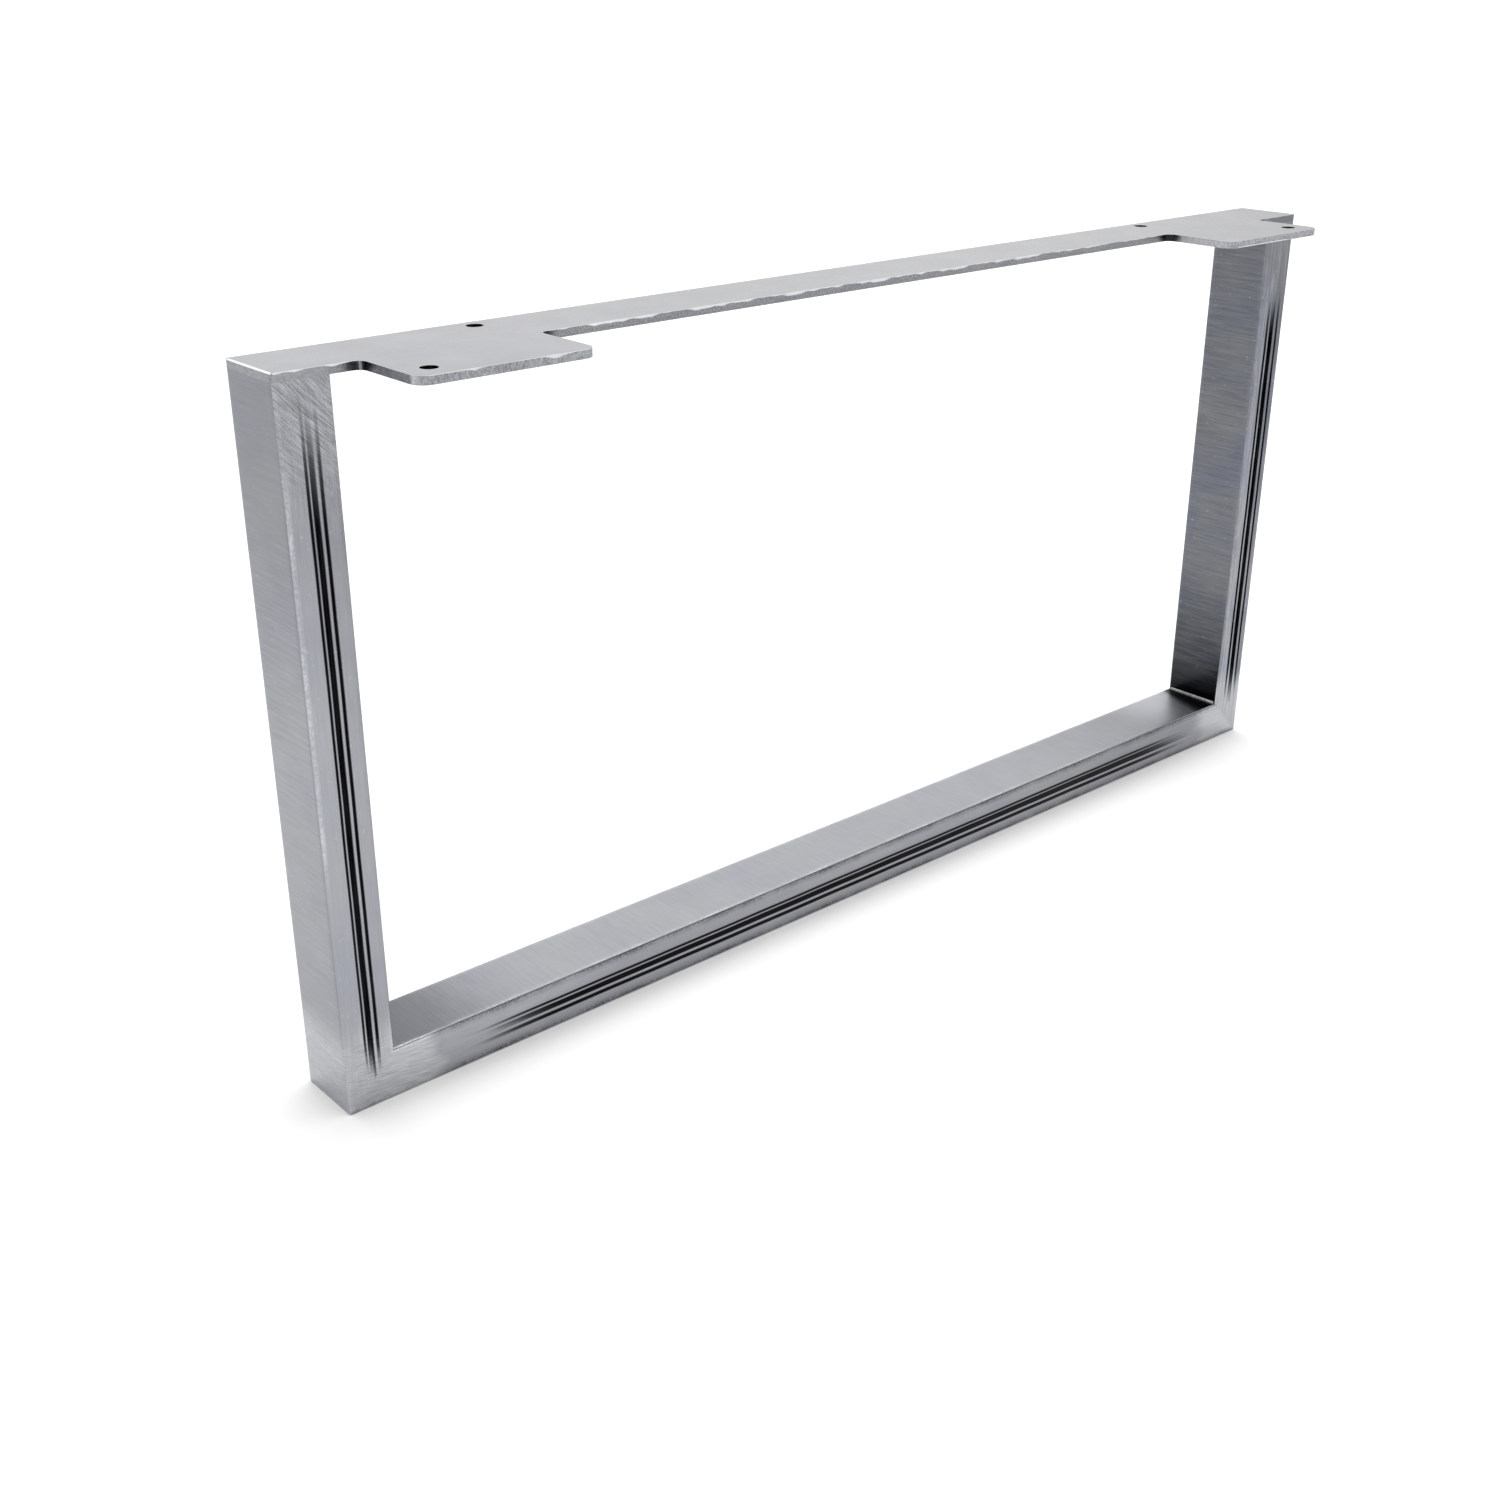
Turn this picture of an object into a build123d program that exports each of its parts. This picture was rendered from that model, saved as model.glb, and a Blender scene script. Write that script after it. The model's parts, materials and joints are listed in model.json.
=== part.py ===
import os

from build123d import *

# U-shaped furniture leg: two upright tubes and a bottom rail, mitred and welded, under a laser-cut plate.
# The origin is on the floor, at the middle of the rail's bottom face. X runs along the rail, -Y is the front.

# Overall size
frame_length = 800.0  # over both uprights
frame_height = 400.0  # from the floor to the top of the plate

# Rectangular steel tube
tube_depth = 45.0  # from front to back
tube_face = 30.0  # width of the face seen from the front
tube_wall = 2.0
tube_corner = 1.5  # radius along the outer edges
bore_corner_min = 0.5  # least radius along the edges inside the tube

# Laser-cut top plate
plate_thickness = 4.5
plate_edge_break = 0.4  # chamfer along the top of the outline
plate_corner = 1.5  # radius at the strip's four corners
tab_length = 100.0
tab_reach = 50.0  # forward of the tubes
tab_inset = 46.0  # from the end of the plate to the tab
tab_corner = 8.0  # radius at the tab's free corners
tab_root = 5.0  # radius where the tab meets the strip

# Screw holes
hole_diameter = 9.0
front_hole_margin = 15.0  # from the tab's front edge
side_hole_margin = 15.0  # from the tab's sides
rear_hole_margin = 10.0  # from the plate's back edge

# Fillet welds
weld_leg = 1.5
weld_crown = 0.25  # bulge of the bead's face
weld_setback = 0.3  # from the flat's edge to the end of the bead
weld_end = 0.5  # radius at the ends of the bead

# Derived places
bore_corner = max(tube_corner - tube_wall, bore_corner_min)
upright_x = (frame_length - tube_face) / 2
inner_x = frame_length / 2 - tube_face
plate_bottom = frame_height - plate_thickness
tube_front = -tube_depth / 2
tab_x = frame_length / 2 - tab_inset - tab_length / 2
tab_y = tube_front - tab_reach / 2
front_hole_x = tab_x + tab_length / 2 - side_hole_margin
front_hole_y = tube_front - tab_reach + front_hole_margin
rear_hole_x = tab_x - tab_length / 2 + side_hole_margin
rear_hole_y = tube_depth / 2 - rear_hole_margin
weld_length = tube_depth - 2 * (tube_corner + weld_setback)

sides = {"left": -1, "right": 1}

# 45 degree cuts through the frame's two lower corners, facing the uprights
mitres = {side: Plane(origin=(sign * frame_length / 2, 0, 0), z_dir=(sign, 0, 1)) for side, sign in sides.items()}


def tube_section(across, along):
    RectangleRounded(across, along, tube_corner)
    RectangleRounded(across - 2 * tube_wall, along - 2 * tube_wall, bore_corner, mode=Mode.SUBTRACT)


os.makedirs("parts", exist_ok=True)

# Uprights: standing tubes, mitred at the foot and closed by the plate at the top
for side, sign in sides.items():
    with BuildPart() as upright:
        with BuildSketch() as section:
            with Locations((sign * upright_x, 0)):
                tube_section(tube_face, tube_depth)
        extrude(amount=plate_bottom)
        split(bisect_by=mitres[side], keep=Keep.TOP)
    upright.part.label = f"{side}_upright"
    export_step(upright.part, f"parts/{side}_upright.step")

# Bottom rail: the same tube on its side, mitred at both ends
with BuildPart() as bottom_rail:
    with BuildSketch(Plane.YZ.offset(-frame_length / 2)) as section:
        with Locations((0, tube_face / 2)):
            tube_section(tube_depth, tube_face)
    extrude(amount=frame_length)
    for mitre in mitres.values():
        split(bisect_by=mitre, keep=Keep.BOTTOM)
bottom_rail.part.label = "bottom_rail"
export_step(bottom_rail.part, "parts/bottom_rail.step")

# Top plate: a strip as deep as the tubes, with two tabs that reach forward and four screw holes
with BuildPart() as top_plate:
    with BuildSketch(Plane.XY.offset(plate_bottom)) as outline:
        Rectangle(frame_length, tube_depth)
        with Locations(*[(sign * tab_x, tab_y) for sign in sides.values()]):
            Rectangle(tab_length, tab_reach)
        tab_roots = outline.vertices().group_by(Axis.Y)[1].sort_by(Axis.X)[1:-1]
        fillet(tab_roots, tab_root)
        fillet(outline.vertices().group_by(Axis.Y)[0], tab_corner)
        fillet(outline.vertices().group_by(Axis.X)[0] + outline.vertices().group_by(Axis.X)[-1], plate_corner)
    extrude(amount=plate_thickness)
    with Locations(*[(sign * front_hole_x, front_hole_y, frame_height) for sign in sides.values()]):
        Hole(hole_diameter / 2)
    with Locations(*[(sign * rear_hole_x, rear_hole_y, frame_height) for sign in sides.values()]):
        Hole(hole_diameter / 2)
    top_face = top_plate.faces().sort_by(Axis.Z)[-1]
    chamfer(top_face.outer_wire().edges(), plate_edge_break)
top_plate.part.label = "top_plate"
export_step(top_plate.part, "parts/top_plate.step")

# Fillet welds along the inner faces of the uprights: on the rail below and under the plate above
for side, sign in sides.items():
    for seat, seat_z, rise in (("corner", tube_face, 1), ("plate", plate_bottom, -1)):
        root = (sign * inner_x, seat_z)
        toe_on_seat = (root[0] - sign * weld_leg, seat_z)
        toe_on_upright = (root[0], seat_z + rise * weld_leg)
        bulge = weld_leg / 2 + weld_crown / 2**0.5
        crown = (root[0] - sign * bulge, seat_z + rise * bulge)
        with BuildPart() as weld:
            with BuildSketch(Plane.XZ) as bead:
                with BuildLine():
                    Polyline(toe_on_seat, root, toe_on_upright)
                    ThreePointArc(toe_on_seat, crown, toe_on_upright)
                make_face()
            extrude(amount=weld_length / 2, both=True)
            fillet(weld.edges().filter_by(GeomType.CIRCLE), weld_end)
        weld.part.label = f"{side}_{seat}_weld"
        export_step(weld.part, f"parts/{side}_{seat}_weld.step")
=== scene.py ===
import json
import math

import bpy
import numpy as np
from mathutils.geometry import delaunay_2d_cdt
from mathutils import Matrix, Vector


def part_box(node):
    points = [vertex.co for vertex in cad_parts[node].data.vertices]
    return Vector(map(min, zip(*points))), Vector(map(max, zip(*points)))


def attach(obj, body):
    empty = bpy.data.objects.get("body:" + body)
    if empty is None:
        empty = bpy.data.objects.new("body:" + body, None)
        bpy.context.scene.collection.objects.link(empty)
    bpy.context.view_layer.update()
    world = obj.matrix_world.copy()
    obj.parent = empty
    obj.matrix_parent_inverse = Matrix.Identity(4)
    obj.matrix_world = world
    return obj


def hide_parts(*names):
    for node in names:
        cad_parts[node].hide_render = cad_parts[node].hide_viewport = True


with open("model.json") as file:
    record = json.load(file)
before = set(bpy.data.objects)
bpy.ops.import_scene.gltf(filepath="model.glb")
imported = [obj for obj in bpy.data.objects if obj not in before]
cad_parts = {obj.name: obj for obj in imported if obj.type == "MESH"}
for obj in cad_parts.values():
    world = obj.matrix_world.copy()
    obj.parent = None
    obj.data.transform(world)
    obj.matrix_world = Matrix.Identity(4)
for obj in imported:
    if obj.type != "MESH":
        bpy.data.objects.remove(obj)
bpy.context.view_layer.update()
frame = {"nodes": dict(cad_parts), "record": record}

mm = 0.001
print("frame loaded:", ", ".join(sorted(frame["nodes"])))

# sizes that the frame already holds, in metres
plateLow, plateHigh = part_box("top_plate")
railLow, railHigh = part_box("bottom_rail")
halfLength = railHigh.x
tubeFace = railHigh.z
tubeFront, tubeBack = railLow.y, railHigh.y
plateBottom, plateTop = plateLow.z, plateHigh.z


# one sRGB hex value to the linear colour that shaders take
def linearColour(hexCode):
    srgb = np.array([int(hexCode[i:i + 2], 16) for i in (1, 3, 5)]) / 255
    linear = np.where(srgb <= 0.04045, srgb / 12.92, ((srgb + 0.055) / 1.055) ** 2.4)
    return (*linear, 1.0)


# one node with its settings, fixed inputs and links; a socket given as an input becomes a link
def addNode(tree, kind, inputs, **settings):
    made = tree.nodes.new("ShaderNode" + kind)
    for key, value in settings.items():
        setattr(made, key, value)
    for key, value in inputs.items():
        if isinstance(value, bpy.types.NodeSocket):
            tree.links.new(value, made.inputs[key])
        else:
            made.inputs[key].default_value = value
    return made.outputs


# a new material, its node tree and its shader's inputs
def newMaterial(name):
    material = bpy.data.materials.new(name)
    material.use_nodes = True
    tree = material.node_tree
    return material, tree, tree.nodes["Principled BSDF"].inputs


# colour stops of a ramp, as (place, hex) pairs
def setStops(outputs, stops):
    ramp = outputs[0].node.color_ramp
    while len(ramp.elements) < len(stops):
        ramp.elements.new(1.0)
    for element, (place, hexCode) in zip(ramp.elements, stops):
        element.position = place
        element.color = linearColour(hexCode)


# 0 below low, 1 above high, an S curve between
def softStep(low, high, value):
    t = np.clip((value - low) / (high - low), 0, 1)
    return t * t * (3 - 2 * t)


# rises from the first to the second place and falls from the third to the fourth, all in mm
def spanMask(span, distance):
    a, b, c, d = (place * mm for place in span)
    return softStep(a, b, distance) * (1 - softStep(c, d, distance))


# slow random wave between -1 and 1: sines of these wavelengths in mm, longer ones stronger, with seeded phases
def wander(distance, wavelengths, seed):
    phases = np.random.default_rng(seed).uniform(0, 2 * np.pi, len(wavelengths))
    weights = np.sqrt(wavelengths) / np.sqrt(wavelengths).sum()
    lengths = np.array(wavelengths) * mm
    return sum(a * np.sin(2 * np.pi * distance / w + p) for a, w, p in zip(weights, lengths, phases))


# quads of a grid of points numbered row by row, closed round the columns and, if asked, round the rows
def gridQuads(rows, columns, closeRows):
    number = np.arange(rows * columns).reshape(rows, columns)
    nextRow = np.roll(number, -1, axis=0)
    quads = np.stack([number, np.roll(number, -1, axis=1), np.roll(nextRow, -1, axis=1), nextRow], axis=-1)
    return quads[:rows if closeRows else rows - 1].reshape(-1, 4).tolist()


# puts points and faces into a new object that rides on the frame and stands for a CAD node
def addPiece(name, points, faces, material, node, masks, flatFaces=(), sharpAngle=35):
    points = np.asarray(points, float).reshape(-1, 3)
    mesh = bpy.data.meshes.new(name)
    mesh.from_pydata(points.tolist(), [], faces)
    # a mirrored piece comes out inside out, which its signed volume shows, so its faces are turned
    mesh.calc_loop_triangles()
    triangles = np.empty(3 * len(mesh.loop_triangles), np.int32)
    mesh.loop_triangles.foreach_get("vertices", triangles)
    corners = points[triangles.reshape(-1, 3)]
    if np.einsum("ij,ij->i", corners[:, 0], np.cross(corners[:, 1], corners[:, 2])).sum() < 0:
        mesh.flip_normals()
    smooth = np.ones(len(mesh.polygons), bool)
    smooth[list(flatFaces)] = False
    mesh.polygons.foreach_set("use_smooth", smooth)
    mesh.set_sharp_from_angle(angle=math.radians(sharpAngle))
    for maskName, values in masks.items():
        mask = mesh.attributes.new(maskName, "FLOAT", "POINT")
        mask.data.foreach_set("value", np.ascontiguousarray(values, np.float32).ravel())
    mesh.materials.append(material)
    mesh.validate()
    piece = bpy.data.objects.new(name, mesh)
    bpy.context.scene.collection.objects.link(piece)
    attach(piece, "root")
    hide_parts(node)
    return piece


# Grey from black to white, a little blue, so that a tone of 0.6 looks 60 percent bright on screen.
steelGreys = ((0.0, "#030304"), (0.25, "#3d3f42"), (0.5, "#7e7f83"), (0.75, "#bdbec2"), (1.0, "#fcfdff"))

# Raw steel tube, drawn through a brush across its length: fine lines round the tube, grey with a soft sheen,
# black lines along the weld seam, and paler, scratched patches where the corners were ground flush.
# Sizes are in mm, and a spread is the two noise values between which a pattern goes from nothing to full.
tubeFinish = {
    "brushLength": 30.0,
    "lineSpread": (0.33, 0.67),
    "scratchPitch": 0.75,  # grinding scratches, also coarser than the real ones so that they show
    "scratchLength": 11.0,
    "scratchDepth": 5.0,  # from front to back
    "scratchBend": 4.0,
    "bendSize": 35.0,
    "scratchTone": 0.13,
    "gritSize": 0.7,
    "gritShare": 0.3,
    "fleckSize": 3.0,
    "fleckSpread": (0.70, 0.78),
    "edgeGlintSize": 1.7,
    "edgeGlintSpread": (0.38, 0.62),
    "edgeGlintShare": (0.5, 1.5),
    "cloudSize": 22.0,
    "cloudSpread": (0.3, 0.7),
    "cloudTone": 0.008,
    "blueSize": 38.0,
    "blueSpread": (0.4, 0.7),
    "blueGone": 0.3,  # share of grinding that takes the bloom off
    "blueTint": "#d6deff",
    "heatTint": "#5e6694",
    "roughness": (0.18, 0.27),
    "roughSpread": (0.3, 0.7),
    "bumpStrength": 0.08,
    "bumpHeight": 0.05,
}


def tubeSteel(name, lengthAxis, spec):
    look = tubeFinish
    material, tree, shader = newMaterial(name)
    where = addNode(tree, "TexCoord", {})["Object"]
    front, swing, plainTone, ground, heat, edgeGlint, inner = (
        addNode(tree, "Attribute", {}, attribute_name=mask)["Fac"]
        for mask in ("front", "swing", "tone", "ground", "heat", "edgeGlint", "inner"))
    # soft spots of five sizes
    scales = {spot: 1 / (look[spot + "Size"] * mm) for spot in ("grit", "fleck", "edgeGlint", "cloud", "blue")}
    grit, fleck, speck, cloud, bloom = (
        addNode(tree, "TexNoise", {"Vector": where, "Scale": scales[spot], "Detail": detail})[0]
        for spot, detail in (("grit", 2.0), ("fleck", 1.0), ("edgeGlint", 3.0), ("cloud", 4.0), ("blue", 3.0)))
    # brushed across the sides, drawn lengthwise on the front
    fine, long = 1 / (spec["brushPitch"] * mm), 1 / (look["brushLength"] * mm)
    acrossScale, alongScale = [long] * 3, [fine] * 3
    acrossScale[lengthAxis], alongScale[lengthAxis] = fine, long
    acrossPlace = addNode(tree, "Mapping", {"Vector": where, "Scale": acrossScale})[0]
    alongPlace = addNode(tree, "Mapping", {"Vector": where, "Scale": alongScale})[0]
    brushPlace = addNode(tree, "Mix", {0: front, 4: acrossPlace, 5: alongPlace}, data_type="VECTOR")[1]
    brush = addNode(tree, "TexNoise", {"Vector": brushPlace, "Scale": 1.0, "Detail": 4.0, "Roughness": 0.65})[0]
    # the grinder swung in arcs, so its scratches are bent by a slow noise
    bend = addNode(tree, "TexNoise", {"Vector": where, "Scale": 1 / (look["bendSize"] * mm), "Detail": 1.0})[1]
    bent = addNode(tree, "VectorMath", {0: bend, 1: [look["scratchBend"] * mm] * 3, 2: where},
                   operation="MULTIPLY_ADD")[0]
    turned = addNode(tree, "VectorRotate", {"Vector": bent, "Angle": swing}, rotation_type="Y_AXIS")[0]
    scratchScale = [1 / (look["scratch" + side] * mm) for side in ("Pitch", "Depth", "Length")]
    scratchPlace = addNode(tree, "Mapping", {"Vector": turned, "Scale": scratchScale})[0]
    scratch = addNode(tree, "TexNoise",
                      {"Vector": scratchPlace, "Scale": 1.0, "Detail": 2.0, "Roughness": 0.55})[0]
    scratched = addNode(tree, "Mix", {0: look["gritShare"], 2: scratch, 3: grit})[0]
    # brush lines everywhere, grinding scratches where the corners were ground
    lines = addNode(tree, "Mix", {0: ground, 2: brush, 3: scratched})[0]
    plainDepth = addNode(tree, "Mix", {0: front, 2: spec["brushTone"], 3: spec["streakTone"]})[0]
    lineDepth = addNode(tree, "Mix", {0: ground, 2: plainDepth, 3: look["scratchTone"]})[0]
    low, high = look["lineSpread"]
    lineSwing = addNode(tree, "MapRange", {0: lines, 1: low, 2: high, 3: -1.0, 4: 1.0}, clamp=False)[0]
    low, high = look["cloudSpread"]
    cloudSwing = addNode(tree, "MapRange",
                         {0: cloud, 1: low, 2: high, 3: -look["cloudTone"], 4: look["cloudTone"]})[0]
    clouded = addNode(tree, "Math", {0: plainTone, 1: cloudSwing}, operation="ADD")[0]
    # painted highlight and painted shade on the long edges, broken into specks
    (low, high), (least, most) = look["edgeGlintSpread"], look["edgeGlintShare"]
    speckShare = addNode(tree, "MapRange", {0: speck, 1: low, 2: high, 3: least, 4: most})[0]
    glinted = addNode(tree, "Math", {0: edgeGlint, 1: speckShare, 2: clouded}, operation="MULTIPLY_ADD")[0]
    # a few pale flecks of weld spatter
    low, high = look["fleckSpread"]
    fleckTone = addNode(tree, "MapRange", {0: fleck, 1: low, 2: high, 3: 0.0, 4: spec["fleckTone"]})[0]
    flecked = addNode(tree, "Math", {0: glinted, 1: fleckTone}, operation="ADD")[0]
    tone = addNode(tree, "Math", {0: lineSwing, 1: lineDepth, 2: flecked}, operation="MULTIPLY_ADD")[0]
    colour = addNode(tree, "ValToRGB", {0: tone})
    setStops(colour, steelGreys)
    # a bluish bloom lies over the grey in patches where it wasn't ground, and deeper blue next to the welds
    bloomMost = addNode(tree, "MapRange",
                        {0: ground, 1: 0.0, 2: look["blueGone"], 3: spec["blueShare"], 4: 0.0})[0]
    low, high = look["blueSpread"]
    bloomShare = addNode(tree, "MapRange", {0: bloom, 1: low, 2: high, 3: 0.0, 4: bloomMost})[0]
    bloomed = addNode(tree, "Mix", {0: bloomShare, 6: colour[0], 7: linearColour(look["blueTint"])},
                      data_type="RGBA", blend_type="MULTIPLY")[2]
    tinted = addNode(tree, "Mix", {0: heat, 6: bloomed, 7: linearColour(look["heatTint"])}, data_type="RGBA")[2]
    tree.links.new(tinted, shader["Base Color"])
    # the tubes are equally smooth, so that no mitre shows in the ground corners, apart from their inner sides
    smoothest, roughest = (
        addNode(tree, "Mix", {0: inner, 2: plain, 3: onInner})[0]
        for plain, onInner in zip(look["roughness"], spec["innerRoughness"]))
    low, high = look["roughSpread"]
    rough = addNode(tree, "MapRange", {0: lines, 1: low, 2: high, 3: smoothest, 4: roughest})[0]
    tree.links.new(rough, shader["Roughness"])
    bump = addNode(tree, "Bump", {"Height": lines, "Strength": look["bumpStrength"],
                                  "Distance": look["bumpHeight"] * mm})[0]
    tree.links.new(bump, shader["Normal"])
    shader["Metallic"].default_value = 1.0
    # an oxide skin holds back the white flare that clean metal has at a flat angle
    shader["Specular Tint"].default_value = linearColour(spec["flareTint"])
    return material


# Laser-cut sheet steel with its rolled skin: paler and smoother than the tube on top, grey and grainy on the
# cut edge, bright where the edge was filed, with a painted highlight there, and like the ground tube where it was
# ground flush with it.
plateFinish = {
    "cloudSize": 26.0,  # mm
    "cloudSpread": (0.3, 0.7),
    "cloudTone": 0.02,
    "grainPitch": 1.4,
    "grainLength": 4.0,  # from front to back
    "grainTone": 0.03,
    "cutPitch": 0.9,  # grain of the laser's cut
    "cutLength": 1.3,
    "cutTone": 0.15,
    "grainSpread": (0.25, 0.75),
    "roughness": (0.26, 0.36),
    "roughSpread": (0.3, 0.7),
    "bumpStrength": 0.15,
    "bumpHeight": 0.05,
}


def plateSteel(name):
    look = plateFinish
    material, tree, shader = newMaterial(name)
    where = addNode(tree, "TexCoord", {})["Object"]
    plainTone = addNode(tree, "Attribute", {}, attribute_name="tone")["Fac"]
    cutEdge = addNode(tree, "Attribute", {}, attribute_name="cutEdge")["Fac"]
    cloud = addNode(tree, "TexNoise", {"Vector": where, "Scale": 1 / (look["cloudSize"] * mm), "Detail": 5.0})[0]
    grainScale = [1 / (look["grain" + side] * mm) for side in ("Pitch", "Length", "Pitch")]
    grainPlace = addNode(tree, "Mapping", {"Vector": where, "Scale": grainScale})[0]
    grain = addNode(tree, "TexNoise", {"Vector": grainPlace, "Scale": 1.0, "Detail": 3.0})[0]
    cutScale = [1 / (look["cut" + side] * mm) for side in ("Pitch", "Pitch", "Length")]
    cutPlace = addNode(tree, "Mapping", {"Vector": where, "Scale": cutScale})[0]
    cut = addNode(tree, "TexNoise", {"Vector": cutPlace, "Scale": 1.0, "Detail": 3.0, "Roughness": 0.7})[0]
    surface = addNode(tree, "Mix", {0: cutEdge, 2: grain, 3: cut})[0]
    depth = addNode(tree, "MapRange", {0: cutEdge, 1: 0.0, 2: 1.0, 3: look["grainTone"], 4: look["cutTone"]})[0]
    low, high = look["grainSpread"]
    swing = addNode(tree, "MapRange", {0: surface, 1: low, 2: high, 3: -1.0, 4: 1.0})[0]
    low, high = look["cloudSpread"]
    cloudSwing = addNode(tree, "MapRange",
                         {0: cloud, 1: low, 2: high, 3: -look["cloudTone"], 4: look["cloudTone"]})[0]
    clouded = addNode(tree, "Math", {0: plainTone, 1: cloudSwing}, operation="ADD")[0]
    tone = addNode(tree, "Math", {0: swing, 1: depth, 2: clouded}, operation="MULTIPLY_ADD")[0]
    colour = addNode(tree, "ValToRGB", {0: tone})
    setStops(colour, steelGreys)
    tree.links.new(colour[0], shader["Base Color"])
    (low, high), (smoothest, roughest) = look["roughSpread"], look["roughness"]
    rough = addNode(tree, "MapRange", {0: surface, 1: low, 2: high, 3: smoothest, 4: roughest})[0]
    tree.links.new(rough, shader["Roughness"])
    bump = addNode(tree, "Bump", {"Height": surface, "Strength": look["bumpStrength"],
                                  "Distance": look["bumpHeight"] * mm})[0]
    tree.links.new(bump, shader["Normal"])
    shader["Metallic"].default_value = 1.0
    return material


# Bare weld metal: bright, rippled, with paler and darker patches left by the heat.
weldFinish = {
    "patchSize": 3.0,  # mm
    "stops": ((0.3, "#8a8a8e"), (0.5, "#a6a6a8"), (0.7, "#c4c4c4")),
    "roughness": (0.22, 0.38),
    "roughSpread": (0.3, 0.7),
}


def weldSteel(name):
    look = weldFinish
    material, tree, shader = newMaterial(name)
    where = addNode(tree, "TexCoord", {})["Object"]
    patch = addNode(tree, "TexNoise", {"Vector": where, "Scale": 1 / (look["patchSize"] * mm), "Detail": 4.0})[0]
    colour = addNode(tree, "ValToRGB", {0: patch})
    setStops(colour, look["stops"])
    tree.links.new(colour[0], shader["Base Color"])
    (low, high), (smoothest, roughest) = look["roughSpread"], look["roughness"]
    rough = addNode(tree, "MapRange", {0: patch, 1: low, 2: high, 3: smoothest, 4: roughest})[0]
    tree.links.new(rough, shader["Roughness"])
    shader["Metallic"].default_value = 1.0
    return material


# rounded rectangle as one closed loop: a flat and then an arc for the front, inner, back and outer side in turn.
# Returns the place across the face, the place in depth, and the outward normal of each point.
def sectionLoop(halfFace, halfDepth, radius, steps, arcSteps):
    places, normals = [], []
    quarter = np.linspace(0, np.pi / 2, arcSteps + 1)
    reaches = (halfDepth, halfFace, halfDepth, halfFace)
    for side, reach in enumerate(reaches):
        heading = (side - 1) * np.pi / 2
        outward = np.array([np.cos(heading), np.sin(heading)])
        along = np.array([-np.sin(heading), np.cos(heading)])
        flat = reaches[side - 1] - radius
        turned = heading + quarter
        arcNormals = np.stack([np.cos(turned), np.sin(turned)], axis=-1)
        places += [steps[side][:, None] * flat * along + reach * outward]
        places += [flat * along + (reach - radius) * outward + radius * arcNormals]
        normals += [np.tile(outward, (len(steps[side]), 1)), arcNormals]
    return *np.concatenate(places).T, *np.concatenate(normals).T


# What the three tubes share, in mm.
tube = {
    "wall": 2.0,
    "cornerRadius": 1.5,
    "boreRadius": 0.5,
    "arcSteps": 8,
    "rowPitch": 2.5,
    "columns": (15, 17, 11),  # on the front away from the seam, on the inner and outer side, on the back
    "seamBand": 9.0,  # half the width over which columns stand close together
    "seamPitch": 0.3,
    "seamSoft": 0.3,
    "seamDepth": 0.18,
    "seamTone": 0.015,
    "seamDrift": 0.12,
    "driftLengths": (220.0, 61.0),
    "seamRagged": 8.0,
    "seamRagLengths": (9.0, 4.0),
    "groundRagged": 5.0,
    "groundRagLengths": (27.0, 13.0),
    "groundGlint": 0.10,
    "groundGlintLoss": 0.8,  # share of the edges' painted highlight and shade that the ground patches take off
    "heatSwing": 0.4,
    "heatLengths": (31.0, 17.0),
    "scorchHeat": 0.2,
    "halfBlend": (-7.0, 5.0),  # across the front, where its outer half turns into its inner half
    "edgeGlintSwing": 0.6,
    "edgeGlintLengths": (83.0, 31.0, 14.0),
    "waveDepth": 0.07,
    "waveLengths": (310.0, 170.0, 95.0, 52.0),
    "waveShift": 90.0,  # from one side to the next
    "boreTone": 0.4,
}
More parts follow.
